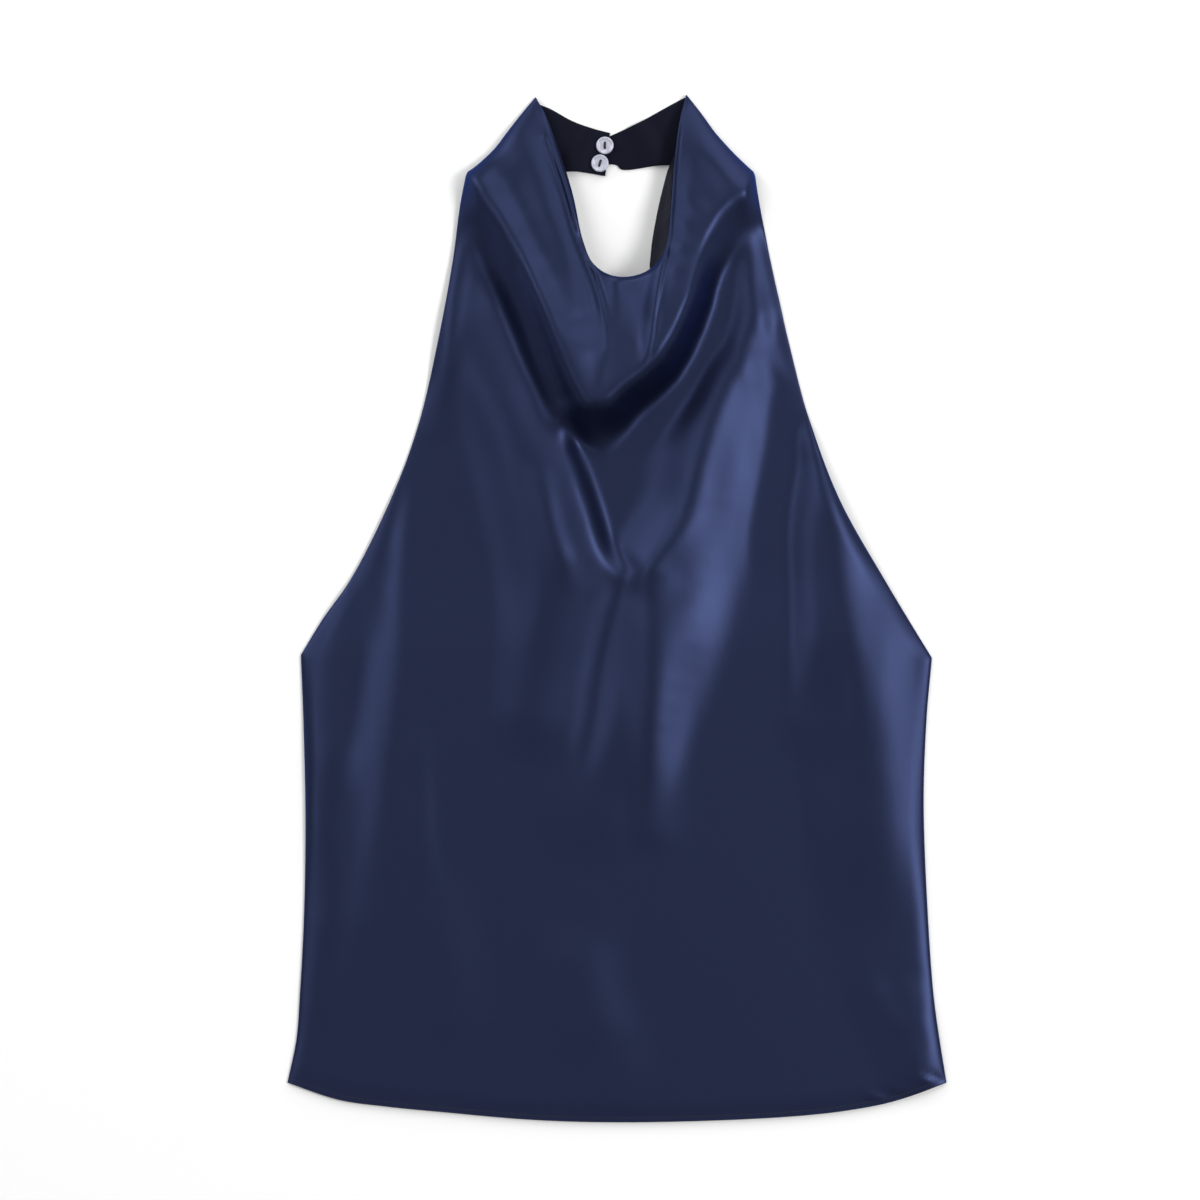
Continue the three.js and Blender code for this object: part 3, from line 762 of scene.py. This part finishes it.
@dataclass
class FrontPanel(ClothPiece):
    """The front, from the hem up to the cowl's neckline and out to the folds over the shoulders."""

    outline: Outline = field(default_factory=lambda: OUTLINE)
    drape: Drape = field(default_factory=lambda: Drape(FOLDS))
    fine: tuple[Fold, ...] = FINE_FOLDS
    wall: float = 1.2
    on_back: float = 3.4
    on_floor: float = 1.3
    edge_reach: float = 10.0
    edge_fold: float = 0.45
    floor_clear: float = 0.15
    lip_drop: float = 2.4
    lip_reach: float = 6.0
    lip_kept: float = 0.9
    lip_kept_from: tuple[float, float] = (0.55, 0.72)
    lip_kept_to: tuple[float, float] = (0.9, 0.97)
    back_top: tuple[float, float] = (-30.0, 30.0)
    bands_foot: tuple[float, float] = (235.0, 265.0)
    arm_ease: float = 0.08
    shoulder_ease: float = 0.06
    hem_drop: float = 1.1
    hem_reach: float = 14.0
    columns: int = 176
    rows: int = 226

    def spread(self) -> tuple[np.ndarray, np.ndarray]:
        """Space the grid's columns and rows along the cut."""
        near_sides = (0.0, 0.0009, 0.002, 0.0036, 0.006, 0.0095, 0.014)
        near_ends = (0.0, 0.0007, 0.0016, 0.003, 0.005, 0.0072, 0.0097, 0.0125)
        return shares(self.columns, near_sides), shares(self.rows, near_ends)

    def middle(self, u: np.ndarray, v: np.ndarray) -> np.ndarray:
        """Find the middle between the two faces of the cloth.

        Args:
            u: Shares across.
            v: Shares up, in the same shape.

        Returns:
            Points, in millimetres.
        """
        plan = self.outline.plan(u, v)
        x, y = plan[..., 0], plan[..., 1]
        lift = self.drape.at(x, y)
        detail = sum(fold.lift(x, y) for fold in self.fine)
        left, right = self.outline.edge(Side.LEFT, v), self.outline.edge(Side.RIGHT, v)
        width = np.linalg.norm(right - left, axis=-1)
        inward = np.clip(np.minimum(u, 1 - u) * width / self.edge_reach, 0, 1)
        around = np.sqrt(1 - (1 - inward) ** 2)
        arm = self.outline.underarm
        top = self.outline.shoulder
        below_shoulder = 1 - smooth(top - self.shoulder_ease, top, v)
        kept = self.edge_fold * smooth(arm, arm + self.arm_ease, v) * below_shoulder
        layers = np.maximum(1 - smooth(*self.back_top, y), smooth(*self.bands_foot, y))
        rest = mix(self.on_floor, self.on_back, layers)
        low = self.wall / 2 + self.floor_clear
        fold_length = CutLine(self.outline.shoulders[Side.LEFT]).length
        lip = 1 - np.clip((1 - v) * fold_length / (1 - top) / self.lip_reach, 0, 1)
        raised = lift * mix(kept, 1, around)
        kept_up = 1 - self.lip_kept * smooth(*self.lip_kept_from, u) * (1 - smooth(*self.lip_kept_to, u))
        drop = self.lip_drop * kept_up * lip**2 * smooth(0, 3 * self.lip_drop, raised)
        up_from_hem = v / arm * CutLine(self.outline.seams[Side.LEFT]).length
        drop = drop + self.hem_drop * around * (1 - smooth(0, self.hem_reach, up_from_hem))
        height = mix(low, rest, around) + raised - drop + detail
        return np.stack([x, y, height], axis=-1)

    def points(self) -> np.ndarray:
        """Give the outer face as rows of points, in millimetres."""
        columns, rows = self.spread()
        u, v = np.meshgrid(columns, rows)
        middle = self.middle(u, v)
        return middle + normals_of(middle) * self.wall / 2

    def hem_line(self, places: int = 400, lowest: float = 0.45) -> tuple[np.ndarray, np.ndarray]:
        """Find where the hem is sewn.

        Args:
            places: Points along it.
            lowest: How low the middle of a stitch may lie, in millimetres.

        Returns:
            Points of the line in millimetres, and which way the cloth faces there.
        """
        u, v = np.meshgrid(np.linspace(0.004, 0.996, places), (0.0046, 0.0047))
        rows = self.middle(u, v)
        facing = normals_of(rows)[0]
        line = rows[0] + facing * self.wall / 2
        line[:, 2] = np.maximum(line[:, 2], lowest)
        return line, facing


@dataclass
class BackPanel(ClothPiece):
    """The low back, flat on the surface inside the front's outline."""

    outline: Outline = field(default_factory=lambda: OUTLINE)
    inset: float = 3.0
    scoop: float = 22.0
    hem_inset: float = 2.5
    foot: float = 0.004
    below_arm: float = 0.01
    rest: float = 1.1
    swell: float = 0.08
    swell_lengths: tuple[float, float] = (37.0, 53.0)

    def spread(self) -> tuple[np.ndarray, np.ndarray]:
        """Space the grid's columns and rows along the cut."""
        return shares(60, (0.0, 0.004, 0.01)), shares(48, (0.0, 0.004, 0.01))

    def points(self) -> np.ndarray:
        """Give the outer face as rows of points, in millimetres."""
        columns, rows = self.spread()
        arm = self.outline.underarm
        u, v = np.meshgrid(columns, mix(self.foot, arm - self.below_arm, rows))
        left, right = self.outline.edge(Side.LEFT, v), self.outline.edge(Side.RIGHT, v)
        rise = v / arm
        dip = self.scoop * rise**4 * np.sin(np.pi * u) ** 2
        hem = CutLine(self.outline.hem)
        sag = (hem.at(u)[..., 1] - hem.at(np.zeros(1))[0, 1]) * (1 - rise)
        x = mix(left[..., 0] + self.inset, right[..., 0] - self.inset, u)
        y = mix(left[..., 1], right[..., 1], u) + sag + self.hem_inset * (1 - rise) - dip
        z = self.rest + self.swell * np.sin(x / self.swell_lengths[0]) * np.sin(y / self.swell_lengths[1])
        return np.stack([x, y, z], axis=-1)


@dataclass
class Neckband(ClothPiece):
    """Half of the neckband, from a shoulder's fold to the buttons behind the neck."""

    upper: Points = ()
    lower: Points = ()
    raised: float = 0.0
    arch: tuple[float, float, float] = (1.8, 0.55, 0.9)
    rest: float = 1.2
    climb: tuple[float, float] = (0.6, 0.88)
    width: float = 30.0
    edge_reach: float = 1.6
    edge_drop: float = 0.45
    side: Side = Side.LEFT

    def spread(self) -> tuple[np.ndarray, np.ndarray]:
        """Space the grid's columns and rows along the cut."""
        return shares(70, (0.0, 0.003, 0.008)), shares(28, (0.0, 0.008, 0.02, 0.04))

    def points(self) -> np.ndarray:
        """Give the outer face as rows of points, in millimetres."""
        columns, rows = self.spread()
        u, t = np.meshgrid(columns, rows)
        s = u if self.side is Side.LEFT else 1 - u
        plan = mix(CutLine(self.lower).at(s), CutLine(self.upper).at(s), t[..., None])
        height, start, end = self.arch
        bow = np.sin(np.pi * np.clip((s - start) / (end - start), 0, 1)) ** 2
        inward = np.clip(np.minimum(t, 1 - t) * self.width / self.edge_reach, 0, 1)
        rolled = self.edge_drop * (1 - np.sqrt(1 - (1 - inward) ** 2))
        z = self.rest + self.raised * smooth(*self.climb, s) + height * bow - rolled
        return np.concatenate([plan, z[..., None]], axis=-1)


@dataclass
class NeckFacing(ClothPiece):
    """The facing of the neckline, whose free edge hangs into the opening at the right."""

    front: FrontPanel | None = None
    wall: float = 1.0
    gap: float = 0.3
    ends: tuple[float, float] = (0.143, 0.857)
    deepest: float = 0.953
    edge_start: float = 0.54
    edge_share: float = 0.4
    edge_heights: tuple[float, float] = (1.2, 2.7)
    edge_climb: tuple[float, float] = (258.0, 282.0)
    fall: float = 0.8
    clear: float = 0.15
    free_from: float = 0.5
    free_to: float = 0.63
    free_edge: Points = ((14, 207), (19, 215), (21.4, 226), (23.6, 246), (26.7, 263), (30.6, 280),
                         (34.4, 294), (38.5, 304), (40.5, 315))

    def spread(self) -> tuple[np.ndarray, np.ndarray]:
        """Space the grid's columns and rows along the cut."""
        return shares(80, (0.0, 0.006)), shares(16, (0.0, 0.02))

    def points(self) -> np.ndarray:
        """Give the outer face as rows of points, in millimetres."""
        columns, rows = self.spread()
        u, deep = np.meshgrid(mix(*self.ends, columns), 1 - rows)
        v = mix(1.0, self.deepest, deep)
        grid = self.front.middle(u, v)
        facing = normals_of(grid)
        beneath = grid - facing * ((self.front.wall + self.wall) / 2 + self.gap)
        seam = np.broadcast_to(beneath[-1:], beneath.shape)
        hidden = beneath - seam
        down = np.zeros_like(hidden)
        down[..., 2] = -np.linalg.norm(hidden, axis=-1)
        edge = CutLine(self.free_edge).at((u - self.edge_start) / self.edge_share)
        height = mix(*self.edge_heights, smooth(*self.edge_climb, edge[..., 1]))
        edge = np.concatenate([edge, height[..., None]], axis=-1)
        hanging = (edge - seam) * (deep**self.fall)[..., None]
        turn = smooth(self.free_from, self.free_to, u)[..., None]
        point = seam + hidden * (1 - turn) ** 2 + down * 2 * turn * (1 - turn) + hanging * turn**2
        point = point + normals_of(point) * self.wall / 2
        point[..., 2] = np.maximum(point[..., 2], self.wall + self.clear)
        return point


# Buttons and stitches


@dataclass
class SewThroughButton:
    """A round button with a raised rim, two holes and the dark thread that holds it."""

    name: str
    node: str
    x: float
    y: float
    turn: float
    base: float = 3.0
    radius: float = 5.85
    height: float = 2.3
    hole_radius: float = 0.8
    hole_spacing: float = 3.6
    strands: int = 3
    strand_radius: float = 0.3
    strand_spacing: float = 0.45
    strand_flatness: float = 0.62
    strand_depth: float = 1.15

    def build(self, pearl: Material, thread: Material) -> None:
        """Turn the button, drill it and sew it on.

        Args:
            pearl: The button's material.
            thread: The thread's material.
        """
        seat = Matrix.Translation((self.x * MM, self.y * MM, self.base * MM))
        place = seat @ Matrix.Rotation(self.turn, 4, "Z")
        body = self.turned(place)
        body.data.materials.append(pearl)
        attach(body, "root")
        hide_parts(self.node)
        sewing = self.sewing(place)
        sewing.data.materials.append(thread)
        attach(sewing, "root")
        log.info("%s: %d faces", self.name, len(body.data.polygons))

    def turned(self, place: Matrix) -> Object:
        """Spin the profile and cut the holes.

        Args:
            place: Where the button sits.

        Returns:
            The button.
        """
        r, h = self.radius, self.height
        profile = ((0, 0), (r - 0.9, 0), (r - 0.45, 0.15), (r - 0.12, 0.5), (r, 1.1), (r - 0.08, 1.65),
                   (r - 0.3, 2.05), (r - 0.65, h), (r - 0.95, h), (r - 1.3, h - 0.22), (r - 1.75, h - 0.55),
                   (r - 2.3, h - 0.7), (0, h - 0.75))
        bm = bmesh.new()
        line = [bm.verts.new((a * MM, 0, b * MM)) for a, b in profile]
        edges = [bm.edges.new(pair) for pair in zip(line, line[1:])]
        bmesh.ops.spin(bm, geom=line + edges, cent=(0, 0, 0), axis=(0, 0, 1), steps=64, angle=math.tau,
                       use_merge=True)
        bmesh.ops.remove_doubles(bm, verts=bm.verts, dist=1e-6)
        bmesh.ops.recalc_face_normals(bm, faces=bm.faces)
        body = new_object(bm, self.name)
        drill = bmesh.new()
        for way in (-1, 1):
            spot = Matrix.Translation((0, way * self.hole_spacing / 2 * MM, self.height / 2 * MM))
            bmesh.ops.create_cone(drill, cap_ends=True, segments=24, radius1=self.hole_radius * MM,
                                  radius2=self.hole_radius * MM, depth=3 * self.height * MM, matrix=spot)
        cutter = new_object(drill, f"{self.name}_drill")
        cut = body.modifiers.new("holes", "BOOLEAN")
        cut.object = cutter
        cut.solver = "EXACT"
        finished = bpy.data.meshes.new_from_object(body.evaluated_get(bpy.context.evaluated_depsgraph_get()))
        body.modifiers.clear()
        body.data = finished
        bpy.data.objects.remove(cutter)
        finished.transform(place)
        soften(body)
        return body

    def sewing(self, place: Matrix) -> Object:
        """Lay strands of thread from hole to hole.

        Args:
            place: Where the button sits.

        Returns:
            The strands, as one piece.
        """
        bm = bmesh.new()
        half = self.hole_spacing / 2
        for k in range(self.strands):
            aside = (k - (self.strands - 1) / 2) * self.strand_spacing
            ring = bmesh.ops.create_circle(bm, cap_ends=True, segments=10, radius=self.strand_radius * MM,
                                           matrix=Matrix.Translation((aside * MM, half * MM, 0)))["verts"]
            faces = list(dict.fromkeys(f for v in ring for f in v.link_faces))
            edges = list(dict.fromkeys(e for v in ring for e in v.link_edges))
            bmesh.ops.spin(bm, geom=ring + edges + faces, cent=(0, 0, 0), axis=(1, 0, 0), steps=16,
                           angle=math.pi)
        bmesh.ops.recalc_face_normals(bm, faces=bm.faces)
        rise = self.height - self.strand_depth
        bmesh.ops.scale(bm, vec=(1, 1, self.strand_flatness), verts=bm.verts)
        bmesh.ops.translate(bm, vec=(0, 0, rise * MM), verts=bm.verts)
        bmesh.ops.transform(bm, matrix=place, verts=bm.verts)
        strands = new_object(bm, f"{self.name}_thread")
        soften(strands)
        return strands


@dataclass
class StitchRow:
    """A row of small straight stitches along a line on a piece."""

    name: str
    thread_radius: float = 0.17
    length: float = 2.1
    pitch: float = 2.9

    def build(self, line: np.ndarray, facing: np.ndarray, thread: Material) -> None:
        """Sew along a line.

        Args:
            line: Points of the line, in millimetres.
            facing: Which way the cloth faces at them.
            thread: The thread's material.
        """
        run = np.concatenate([[0], np.cumsum(np.linalg.norm(np.diff(line, axis=0), axis=1))])
        count = int(run[-1] / self.pitch)
        bm = bmesh.new()
        for k in range(count):
            way = (k + 0.5) * self.pitch
            ends = [np.array([np.interp(way + s * self.length / 2, run, line[:, a]) for a in range(3)])
                    for s in (-1, 1)]
            up = Vector([np.interp(way, run, facing[:, a]) for a in range(3)]).normalized()
            along = Vector(ends[1] - ends[0]).normalized()
            side = up.cross(along).normalized()
            turn = Matrix((side, along.cross(side).normalized(), along)).transposed().to_4x4()
            spot = Matrix.Translation(Vector((ends[0] + ends[1]) / 2 * MM))
            bmesh.ops.create_cone(bm, cap_ends=True, segments=6, radius1=self.thread_radius * MM,
                                  radius2=self.thread_radius * MM, depth=self.length * MM, matrix=spot @ turn)
        row = new_object(bm, self.name)
        row.data.materials.append(thread)
        soften(row)
        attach(row, "root")
        log.info("%s: %d stitches", self.name, count)


def new_object(bm: bmesh.types.BMesh, name: str) -> Object:
    """Turn a finished bmesh into an object and free it.

    Args:
        bm: The bmesh.
        name: The piece's name.

    Returns:
        The object, in the scene.
    """
    mesh = bpy.data.meshes.new(name)
    bm.to_mesh(mesh)
    bm.free()
    made = bpy.data.objects.new(name, mesh)
    bpy.context.collection.objects.link(made)
    bpy.context.view_layer.update()
    return made


def soften(piece: Object, angle: float = 40.0) -> None:
    """Shade a piece smoothly except over edges sharper than an angle in degrees."""
    piece.data.set_sharp_from_angle(angle=math.radians(angle))


# The studio


@dataclass(frozen=True)
class SoftLight:
    """A round soft light, placed by its tilt from straight up and its turn from the right."""

    name: str
    tilt: float
    turn: float
    reach: float
    radiance: float
    distance: float = 4.5

    def place(self, target: Vector) -> None:
        """Hang the light and aim it.

        Args:
            target: What it is aimed at.
        """
        lamp = bpy.data.lights.new(self.name, "AREA")
        lamp.shape = "DISK"
        lamp.size = 2 * self.distance * math.tan(math.radians(self.reach))
        lamp.energy = self.radiance * math.pi * math.pi * lamp.size**2 / 4
        tilt, turn = math.radians(self.tilt), math.radians(self.turn)
        way = Vector((math.sin(tilt) * math.cos(turn), math.sin(tilt) * math.sin(turn), math.cos(tilt)))
        holder = bpy.data.objects.new(self.name, lamp)
        holder.location = target + way * self.distance
        holder.rotation_euler = way.to_track_quat("Z", "Y").to_euler()
        bpy.context.collection.objects.link(holder)


@dataclass(frozen=True)
class Studio:
    """The pale surface, the lights and the camera straight above."""

    middle: tuple[float, float] = (-11.35, 5.84)
    view_width: float = 801.3
    lens: float = 200.0
    sensor: float = 36.0
    focus_height: float = 4.0
    floor_size: float = 9.0
    fill: float = 0.26
    lights: tuple[SoftLight, ...] = (
        SoftLight("light_at_the_neck", 66, 68, 30, 1.85),
        SoftLight("light_at_the_upper_left", 73, 143, 16, 3.9),
        SoftLight("light_at_the_right", 39, 0, 9, 20),
        SoftLight("light_at_the_left", 36, 154, 15, 2.6),
        SoftLight("light_beside_it", 41, 197, 9, 1.8),
        SoftLight("light_overhead", 14, 80, 14, 0.25),
        SoftLight("light_at_the_lower_left", 38, 244, 6, 4),
    )

    def build(self, surface: Material) -> None:
        """Set the stage.

        Args:
            surface: The floor's material.
        """
        bm = bmesh.new()
        bmesh.ops.create_grid(bm, x_segments=1, y_segments=1, size=self.floor_size)
        floor = new_object(bm, "pale_floor")
        floor.data.materials.append(surface)
        for light in self.lights:
            light.place(Vector((0, 0, 0)))
        world = bpy.data.worlds.new("soft_room")
        world.use_nodes = True
        world.node_tree.nodes["Background"].inputs["Color"].default_value = (1, 1, 1, 1)
        world.node_tree.nodes["Background"].inputs["Strength"].default_value = self.fill
        scene = bpy.context.scene
        scene.world = world
        scene.view_settings.view_transform = "Standard"
        scene.view_settings.look = "None"
        eye = bpy.data.cameras.new("camera")
        eye.lens = self.lens
        eye.sensor_width = self.sensor
        eye.clip_end = 50.0
        camera = bpy.data.objects.new("camera", eye)
        above = self.view_width * MM * self.lens / self.sensor + self.focus_height * MM
        camera.location = (self.middle[0] * MM, self.middle[1] * MM, above)
        bpy.context.collection.objects.link(camera)
        scene.camera = camera


def main() -> None:
    """Build the top piece by piece, and report each one."""
    logging.basicConfig(level=logging.INFO, format="%(name)s %(message)s")
    satin = SATIN.make()
    inside = WRONG_SIDE.make()
    pearl = PearlFinish().make()
    thread = ThreadFinish().make()
    front = FrontPanel("front", ("front_panel",), Slot.SATIN, (0.44, 0.66), 0.2, ("back", "floor"))
    front.build(satin, inside)
    BackPanel("back", ("back_panel",), Slot.SATIN, (0.44, 0.3), 0.12, ("floor",)).build(satin, inside)
    NeckFacing("facing", ("neck_facing",), Slot.INSIDE, (0.3, 0.02), 0.0042, ("front",),
               thickness=0.5, turned=0.7, front=front).build(inside, inside)
    Neckband("neckband_left_half", ("neckband_left",), Slot.INSIDE, (0.092, 0.05), 0.0029, ("floor",),
             thickness=0.9, turned=0.9,
             upper=((-52.4, 337.2), (-44.5, 334), (-31, 326.5), (-17.5, 321.2), (-4.6, 317.8)),
             lower=((-96.5, 281.5), (-60, 288), (-30, 292), (-18, 290.8), (-7.8, 288.9)),
             raised=1.5, side=Side.LEFT).build(inside, inside)
    Neckband("neckband_right_half", ("neckband_right",), Slot.INSIDE, (0.105, 0.05), 0.0036, ("floor",),
             thickness=0.9, turned=0.9,
             upper=((45.2, 341.6), (32, 334.4), (18, 326.6), (1.6, 318.6), (-3, 316.5), (-15, 311)),
             lower=((88.5, 284), (60, 292), (33, 296.2), (3, 293.4), (-0.5, 296.4), (-15, 296.4)),
             arch=(1.5, 0.4, 0.72), side=Side.RIGHT).build(inside, inside)
    SewThroughButton("upper_button", "button_upper", -8.1, 309.4, -0.03).build(pearl, thread)
    SewThroughButton("lower_button", "button_lower", -11.4, 297.5, -0.27).build(pearl, thread)
    StitchRow("hem_stitches").build(*front.hem_line(), thread)
    Studio().build(PaperFinish().make())


if __name__ == "__main__":
    main()
